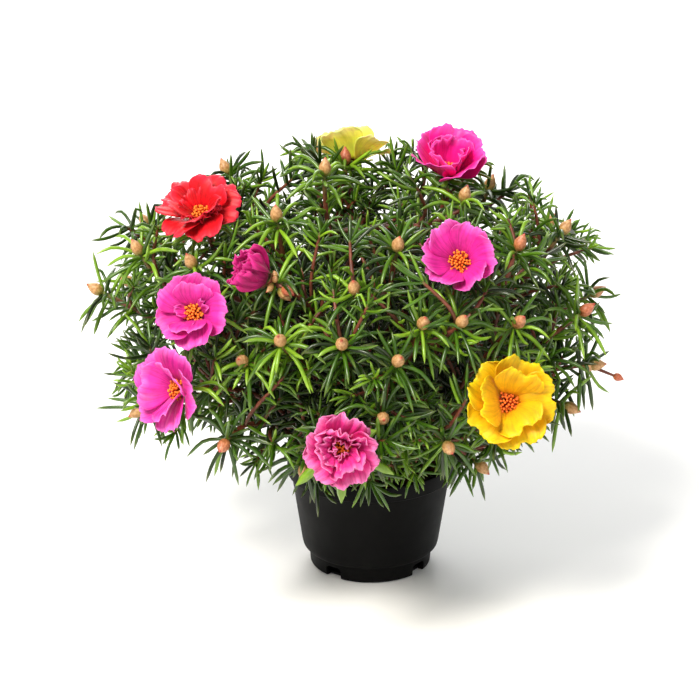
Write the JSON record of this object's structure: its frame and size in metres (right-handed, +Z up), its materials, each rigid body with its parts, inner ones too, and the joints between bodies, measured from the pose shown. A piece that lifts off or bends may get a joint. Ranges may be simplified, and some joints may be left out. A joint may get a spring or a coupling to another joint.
{
  "type": "potted portulaca",
  "caption": "Moss rose in a small round nursery pot: a mound of fleshy needle-leaved stems with pointed buds and ruffled open blooms.",
  "frame": {"origin": "middle of the pot's flat base, on the surface it stands on", "axes": "+Z up along the pot's axis, the front of the plant facing -Y, +X to the right seen from the front"},
  "size_m": [0.3169, 0.3039, 0.2693],
  "materials": {
    "black_plastic": "moulded black plastic with a dull sheen, dusty near the foot",
    "potting_soil": "dark brown fibrous potting compost",
    "leaf_green": "smooth fleshy leaf, half matte, stems reddish brown and buds peach to tan",
    "petal_red": "silky scarlet petal",
    "petal_pink": "silky pink petal",
    "petal_hot_pink": "silky deep pink petal",
    "petal_magenta": "wilted dark magenta petal",
    "petal_yellow": "silky golden yellow petal",
    "stamen_orange": "matte orange filaments and pollen"
  },
  "bodies": {
    "root": {"pot": "black_plastic", "soil": "potting_soil", "leafy_stem_01": "leaf_green", "leafy_stem_02": "leaf_green", "leafy_stem_03": "leaf_green", "leafy_stem_04": "leaf_green", "leafy_stem_05": "leaf_green", "leafy_stem_06": "leaf_green", "leafy_stem_07": "leaf_green", "leafy_stem_08": "leaf_green", "leafy_stem_09": "leaf_green", "leafy_stem_10": "leaf_green", "leafy_stem_11": "leaf_green", "leafy_stem_12": "leaf_green", "leafy_stem_13": "leaf_green", "leafy_stem_14": "leaf_green", "leafy_stem_15": "leaf_green", "leafy_stem_16": "leaf_green", "leafy_stem_17": "leaf_green", "leafy_stem_18": "leaf_green", "leafy_stem_19": "leaf_green", "leafy_stem_20": "leaf_green", "leafy_stem_21": "leaf_green", "leafy_stem_22": "leaf_green", "leafy_stem_23": "leaf_green", "leafy_stem_24": "leaf_green", "leafy_stem_25": "leaf_green", "leafy_stem_26": "leaf_green", "leafy_stem_27": "leaf_green", "leafy_stem_28": "leaf_green", "leafy_stem_29": "leaf_green", "leafy_stem_30": "leaf_green", "leafy_stem_31": "leaf_green", "leafy_stem_32": "leaf_green", "stem_red_bloom": "leaf_green", "petals_red": "petal_red", "stamens_red": "stamen_orange", "stem_pink_upper_bloom": "leaf_green", "petals_pink_upper": "petal_pink", "stamens_pink_upper": "stamen_orange", "stem_pink_lower_bloom": "leaf_green", "petals_pink_lower": "petal_pink", "stamens_pink_lower": "stamen_orange", "stem_magenta_closed_bloom": "leaf_green", "petals_magenta_closed": "petal_magenta", "stem_hot_pink_bloom": "leaf_green", "petals_hot_pink": "petal_hot_pink", "stamens_hot_pink": "stamen_orange", "stem_pink_cup_bloom": "leaf_green", "petals_pink_cup": "petal_pink", "stamens_pink_cup": "stamen_orange", "stem_yellow_bloom": "leaf_green", "petals_yellow": "petal_yellow", "stamens_yellow": "stamen_orange", "stem_fading_bloom": "leaf_green", "petals_fading": "petal_pink", "stamens_fading": "stamen_orange", "stem_yellow_back_bloom": "leaf_green", "petals_yellow_back": "petal_yellow", "stamens_yellow_back": "stamen_orange"}
  },
  "joints": []
}
